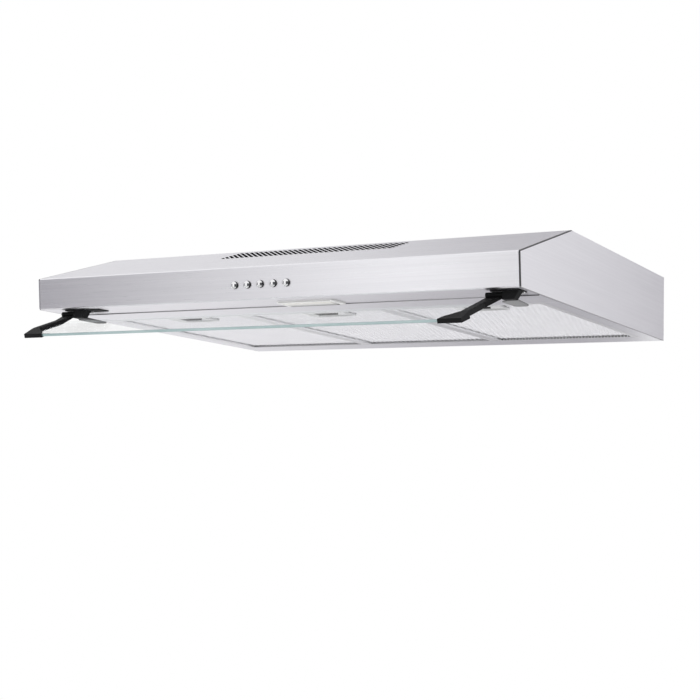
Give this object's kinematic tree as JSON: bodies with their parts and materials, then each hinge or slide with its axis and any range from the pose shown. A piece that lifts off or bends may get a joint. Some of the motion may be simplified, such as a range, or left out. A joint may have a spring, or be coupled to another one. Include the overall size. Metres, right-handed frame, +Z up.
{
  "type": "under-cabinet range hood",
  "caption": "Slim brushed-steel under-cabinet range hood: sloped vented front, push buttons, lamp, drop-down grease filters, tilting glass visor and round top outlet with damper.",
  "frame": {"origin": "centre of the four cabinet screw holes, on the canopy's top face", "axes": "+X to the right as seen by someone facing the hood, +Y to the wall behind, +Z up"},
  "size_m": [0.6, 0.5374, 0.1484],
  "materials": {
    "brushed_steel": "brushed",
    "zinc_sheet": "satin",
    "plain_steel": "satin",
    "button_chrome": "polished",
    "black_plastic": "satin",
    "grey_plastic": "matte",
    "latch_grey": "satin",
    "bezel_grey": "satin",
    "lens_plastic": "frosted",
    "board_white": "gloss",
    "motor_grey": "satin",
    "capacitor_white": "gloss",
    "filter_aluminium": "satin",
    "filter_mesh": "satin",
    "visor_glass": "clear"
  },
  "bodies": {
    "casing": {"canopy_shell": "brushed_steel", "end_panel_left": "brushed_steel", "end_panel_right": "brushed_steel", "back_panel": "zinc_sheet", "lamp_panel": "brushed_steel", "underside_joint_strip": "zinc_sheet", "lamp_bezel": "bezel_grey", "lamp_lens": "lens_plastic", "lamp_tray": "zinc_sheet", "lamp_board": "board_white", "switch_block": "black_plastic", "fan_housing": "grey_plastic", "fan_housing_lid": "grey_plastic", "motor_bracket": "zinc_sheet", "fan_motor": "motor_grey", "outlet_flange": "black_plastic", "outlet_spigot": "black_plastic", "terminal_box": "black_plastic", "terminal_cover": "black_plastic", "cable_gland": "black_plastic", "capacitor": "capacitor_white", "capacitor_clip": "zinc_sheet", "hinge_bracket_left": "black_plastic", "hinge_bracket_right": "black_plastic", "hinge_pin_left": "plain_steel", "hinge_pin_right": "plain_steel", "hinge_screws": "plain_steel", "motor_screws": "plain_steel", "collar_screws": "plain_steel"},
    "button_1": {"button_1": "button_chrome"},
    "button_2": {"button_2": "button_chrome"},
    "button_3": {"button_3": "button_chrome"},
    "button_4": {"button_4": "button_chrome"},
    "button_5": {"button_5": "button_chrome"},
    "rotor": {"motor_shaft": "plain_steel", "impeller": "black_plastic"},
    "flap_front": {"damper_flap_front": "black_plastic"},
    "flap_rear": {"damper_flap_rear": "black_plastic"},
    "filter_left": {"filter_frame_left": "filter_aluminium", "filter_mesh_left": "filter_mesh", "latch_pocket_left": "latch_grey"},
    "latch_left": {"filter_latch_left": "latch_grey"},
    "filter_centre": {"filter_frame_centre": "filter_aluminium", "filter_mesh_centre": "filter_mesh", "latch_pocket_centre": "latch_grey"},
    "latch_centre": {"filter_latch_centre": "latch_grey"},
    "filter_right": {"filter_frame_right": "filter_aluminium", "filter_mesh_right": "filter_mesh", "latch_pocket_right": "latch_grey"},
    "latch_right": {"filter_latch_right": "latch_grey"},
    "visor": {"visor_arm_left": "black_plastic", "visor_arm_right": "black_plastic", "visor_glass": "visor_glass"}
  },
  "joints": [
    {"name": "visor_tilt", "type": "hinge", "parent": "casing", "child": "visor", "pos_m": [0, -0.292, -0.0844], "axis": [1, 0, 0], "range_deg": [-15, 90]},
    {"name": "button_1_press", "type": "slide", "parent": "casing", "child": "button_1", "axis": [0, 0.9937, 0.112], "range_m": [0, 0.003], "stiffness_N_per_m": 400},
    {"name": "button_2_press", "type": "slide", "parent": "casing", "child": "button_2", "axis": [0, 0.9937, 0.112], "range_m": [0, 0.003], "stiffness_N_per_m": 400},
    {"name": "button_3_press", "type": "slide", "parent": "casing", "child": "button_3", "axis": [0, 0.9937, 0.112], "range_m": [0, 0.003], "stiffness_N_per_m": 400},
    {"name": "button_4_press", "type": "slide", "parent": "casing", "child": "button_4", "axis": [0, 0.9937, 0.112], "range_m": [0, 0.003], "stiffness_N_per_m": 400},
    {"name": "button_5_press", "type": "slide", "parent": "casing", "child": "button_5", "axis": [0, 0.9937, 0.112], "range_m": [0, 0.003], "stiffness_N_per_m": 400},
    {"name": "fan_spin", "type": "hinge", "parent": "casing", "child": "rotor", "pos_m": [-0.054, -0.042, -0.02], "axis": [0, 0, 1], "continuous": true},
    {"name": "damper_front_swing", "type": "hinge", "parent": "casing", "child": "flap_front", "pos_m": [0, 0.0915, 0.0067], "axis": [1, 0, 0], "range_deg": [-75, 0]},
    {"name": "damper_rear_swing", "type": "hinge", "parent": "casing", "child": "flap_rear", "pos_m": [0, 0.0965, 0.0067], "axis": [1, 0, 0], "range_deg": [0, 75]},
    {"name": "filter_left_drop", "type": "hinge", "parent": "casing", "child": "filter_left", "pos_m": [-0.18833, 0.1252, -0.08], "axis": [1, 0, 0], "range_deg": [0, 60]},
    {"name": "latch_left_slide", "type": "slide", "parent": "filter_left", "child": "latch_left", "axis": [0, 1, 0], "range_m": [0, 0.005], "stiffness_N_per_m": 300},
    {"name": "filter_centre_drop", "type": "hinge", "parent": "casing", "child": "filter_centre", "pos_m": [0, 0.1252, -0.08], "axis": [1, 0, 0], "range_deg": [0, 60]},
    {"name": "latch_centre_slide", "type": "slide", "parent": "filter_centre", "child": "latch_centre", "axis": [0, 1, 0], "range_m": [0, 0.005], "stiffness_N_per_m": 300},
    {"name": "filter_right_drop", "type": "hinge", "parent": "casing", "child": "filter_right", "pos_m": [0.18833, 0.1252, -0.08], "axis": [1, 0, 0], "range_deg": [0, 60]},
    {"name": "latch_right_slide", "type": "slide", "parent": "filter_right", "child": "latch_right", "axis": [0, 1, 0], "range_m": [0, 0.005], "stiffness_N_per_m": 300}
  ]
}
